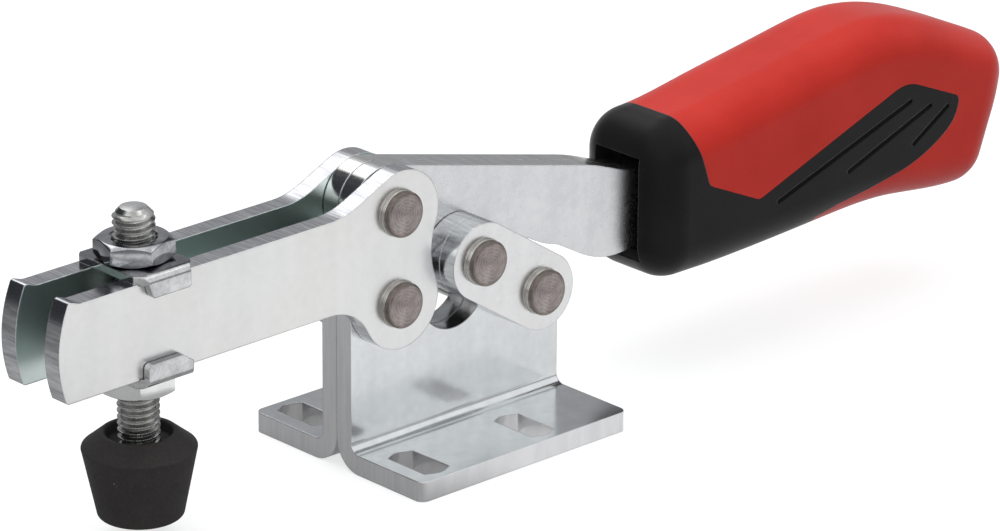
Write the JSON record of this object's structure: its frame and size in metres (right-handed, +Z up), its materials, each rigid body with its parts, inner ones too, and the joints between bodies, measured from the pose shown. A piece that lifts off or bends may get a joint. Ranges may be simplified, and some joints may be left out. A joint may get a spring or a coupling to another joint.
{
  "type": "horizontal toggle clamp",
  "caption": "Horizontal hold-down toggle clamp with a flanged base, open double arm, adjustable screw with rubber cap and two-tone grip.",
  "frame": {"origin": "midway between the front pair of slots, on the base's underside", "axes": "+X along the clamp towards the grip, +Y across the clamp, +Z up from the mounting surface"},
  "size_m": [0.2454, 0.0474, 0.0643],
  "materials": {
    "zinc_sheet": "bright zinc-plated sheet steel",
    "bush_steel": "ground hardened steel",
    "rivet_steel": "turned stainless steel",
    "screw_steel": "bright zinc-plated steel thread",
    "nut_steel": "grey zinc-plated steel",
    "rubber": "matt black moulded rubber",
    "grip_black": "finely rough black plastic",
    "grip_red": "satin red plastic"
  },
  "bodies": {
    "base": {"base_plate_near": "zinc_sheet", "base_plate_far": "zinc_sheet"},
    "arm": {"arm_plate_near": "zinc_sheet", "arm_plate_far": "zinc_sheet", "arm_base_bush": "bush_steel", "arm_base_rivet": "rivet_steel", "arm_handle_bush": "bush_steel", "arm_handle_rivet": "rivet_steel"},
    "handle": {"handle_plate_near": "zinc_sheet", "handle_plate_far": "zinc_sheet", "grip_core": "grip_black", "grip_shell": "grip_red"},
    "link": {"link_inner_near": "zinc_sheet", "link_inner_far": "zinc_sheet", "link_outer_near": "zinc_sheet", "link_outer_far": "zinc_sheet", "handle_link_bush": "bush_steel", "handle_link_rivet": "rivet_steel", "link_base_bush": "bush_steel", "link_base_rivet": "rivet_steel"},
    "spindle_carrier": {"upper_flanged_washer": "nut_steel", "lower_flanged_washer": "nut_steel", "upper_nut": "nut_steel", "lower_nut": "nut_steel"},
    "screw": {"clamping_screw": "screw_steel", "rubber_cap": "rubber"}
  },
  "joints": [
    {"name": "arm_hinge", "type": "hinge", "parent": "base", "child": "arm", "pos_m": [0.002, 0, 0.033], "axis": [0, 1, 0], "range_deg": [0, 82]},
    {"name": "handle_hinge", "type": "hinge", "parent": "arm", "child": "handle", "pos_m": [0.002, 0, 0.051], "axis": [0, -1, 0], "range_deg": [0, 146.2]},
    {"name": "link_hinge", "type": "hinge", "parent": "handle", "child": "link", "pos_m": [0.0196, 0, 0.038], "axis": [0, 1, 0], "range_deg": [0, 135.8]},
    {"name": "carrier_slide", "type": "slide", "parent": "arm", "child": "spindle_carrier", "axis": [1, 0, 0.0087], "range_m": [-0.012, 0.022]},
    {"name": "screw_slide", "type": "slide", "parent": "spindle_carrier", "child": "screw", "axis": [-0.0087, 0, 1], "range_m": [-0.004, 0.007]}
  ],
  "couplings": [
    {"joint": "handle_hinge", "follows": "arm_hinge", "ratio": 1.7804},
    {"joint": "link_hinge", "follows": "arm_hinge", "ratio": 1.6533}
  ]
}
